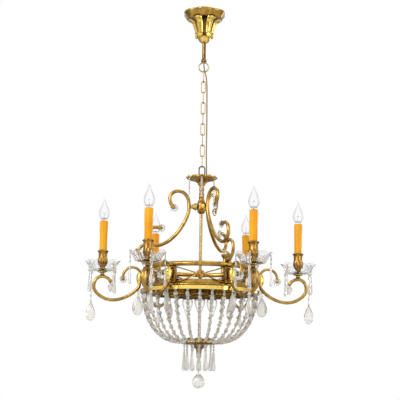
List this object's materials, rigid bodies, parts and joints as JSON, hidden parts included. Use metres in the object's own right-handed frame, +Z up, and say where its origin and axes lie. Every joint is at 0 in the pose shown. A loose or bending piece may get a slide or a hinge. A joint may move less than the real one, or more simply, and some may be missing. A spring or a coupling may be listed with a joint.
{
  "type": "chandelier",
  "caption": "Crystal basket chandelier hung on a chain: scroll arms carry electric candles in glass bobeches round a ring frame, with a beaded basket and swinging crystal drops.",
  "frame": {"origin": "centre of the ceiling screw pattern, in the ceiling plane, on the axis of the stem", "axes": "+Z up along the stem; +X to the right and through the first arm; -Y towards the viewer"},
  "size_m": [0.79, 0.7188, 1.317],
  "materials": {
    "gilt": "antique gilt, satin, with darker hollows",
    "polished": "polished",
    "bronze": "dark antique bronze in the cast relief",
    "iron": "dark",
    "zinc_steel": "zinc plated",
    "crystal": "cut and polished clear crystal",
    "bowl_glass": "pressed clear glass",
    "candle": "amber, drip moulded",
    "bulb_glass": "clear",
    "bulb_cap": "bright",
    "holder": "dark moulded",
    "filament": "fine wire",
    "cord": "gold-brown sheath",
    "terminal": "white moulded"
  },
  "bodies": {
    "ceiling_fitting": {"ceiling_strap": "zinc_steel", "stem_locknut": "zinc_steel", "terminal_block": "terminal", "canopy": "polished", "stem": "polished", "stem_collar": "polished"},
    "hanging_ring": {"top_ring": "gilt"},
    "chain": {"chain_side_links": "gilt", "chain_face_links": "gilt", "power_cord": "cord"},
    "end_link_body": {"end_link": "gilt"},
    "fixture": {"shackle": "iron", "shackle_boss": "bronze", "leaf_cap": "bronze", "cap_bead_strings": "crystal", "column": "bronze", "hub": "bronze", "spigots": "polished", "centre_rod": "gilt", "upper_scrolls": "gilt", "upper_flower_beads": "crystal", "scroll_feet": "gilt", "calyx_cups": "polished", "calyx_beads": "crystal", "top_hoop": "gilt", "bottom_hoop": "gilt", "ring_posts": "bronze", "ring_lattice": "gilt", "ring_rosettes": "bronze", "arm_collars": "polished", "lower_arms": "gilt", "side_scrolls": "gilt", "arm_flower_beads": "crystal", "nozzles": "polished", "bobeches": "bowl_glass", "candle_cups": "polished", "lampholders": "holder", "candle_sleeves": "candle", "bulb_glasses": "bulb_glass", "bulb_caps": "bulb_cap", "bulb_filaments": "filament", "bobeche_drops": "crystal", "basket_ring": "polished", "basket_strings": "crystal", "lamp_carrier": "gilt", "basket_lampholders": "gilt", "basket_bulbs": "bulb_glass", "basket_bulb_caps": "bulb_cap", "basket_plate": "polished", "finial": "bronze", "fringe_drops": "crystal"},
    "arm_pendant_1": {"arm_drop_1": "crystal"},
    "arm_pendant_2": {"arm_drop_2": "crystal"},
    "arm_pendant_3": {"arm_drop_3": "crystal"},
    "arm_pendant_4": {"arm_drop_4": "crystal"},
    "arm_pendant_5": {"arm_drop_5": "crystal"},
    "arm_pendant_6": {"arm_drop_6": "crystal"},
    "ball_pendant": {"ball_drop": "crystal"}
  },
  "joints": [
    {"name": "ring_swing", "type": "hinge", "parent": "ceiling_fitting", "child": "hanging_ring", "pos_m": [0, 0, -0.183], "axis": [1, 0, 0], "range_deg": [-15, 15], "deforming": ["power_cord"]},
    {"name": "chain_swing", "type": "hinge", "parent": "hanging_ring", "child": "chain", "pos_m": [0, 0, -0.21295], "axis": [0, 1, 0], "range_deg": [-15, 15], "deforming": ["power_cord"]},
    {"name": "end_link_turn", "type": "hinge", "parent": "chain", "child": "end_link_body", "pos_m": [0, 0, -0.5168], "axis": [0, 0, 1], "range_deg": [-20, 20], "deforming": ["power_cord"]},
    {"name": "fixture_tilt", "type": "hinge", "parent": "end_link_body", "child": "fixture", "pos_m": [0, 0, -0.5565], "axis": [1, 0, 0], "range_deg": [-10, 10], "deforming": ["power_cord"]},
    {"name": "arm_drop_1_swing", "type": "hinge", "parent": "fixture", "child": "arm_pendant_1", "pos_m": [0.21128, 0, -0.99302], "axis": [0, 1, 0], "range_deg": [-20, 20]},
    {"name": "arm_drop_2_swing", "type": "hinge", "parent": "fixture", "child": "arm_pendant_2", "pos_m": [0.10564, 0.18297, -0.99302], "axis": [-0.866, 0.5, 0], "range_deg": [-20, 20]},
    {"name": "arm_drop_3_swing", "type": "hinge", "parent": "fixture", "child": "arm_pendant_3", "pos_m": [-0.10564, 0.18297, -0.99302], "axis": [-0.866, -0.5, 0], "range_deg": [-20, 20]},
    {"name": "arm_drop_4_swing", "type": "hinge", "parent": "fixture", "child": "arm_pendant_4", "pos_m": [-0.21128, 0, -0.99302], "axis": [0, -1, 0], "range_deg": [-20, 20]},
    {"name": "arm_drop_5_swing", "type": "hinge", "parent": "fixture", "child": "arm_pendant_5", "pos_m": [-0.10564, -0.18297, -0.99302], "axis": [0.866, -0.5, 0], "range_deg": [-20, 20]},
    {"name": "arm_drop_6_swing", "type": "hinge", "parent": "fixture", "child": "arm_pendant_6", "pos_m": [0.10564, -0.18297, -0.99302], "axis": [0.866, 0.5, 0], "range_deg": [-20, 20]},
    {"name": "ball_swing", "type": "hinge", "parent": "fixture", "child": "ball_pendant", "pos_m": [0, 0, -1.22995], "axis": [0, 1, 0], "range_deg": [-25, 25]}
  ]
}
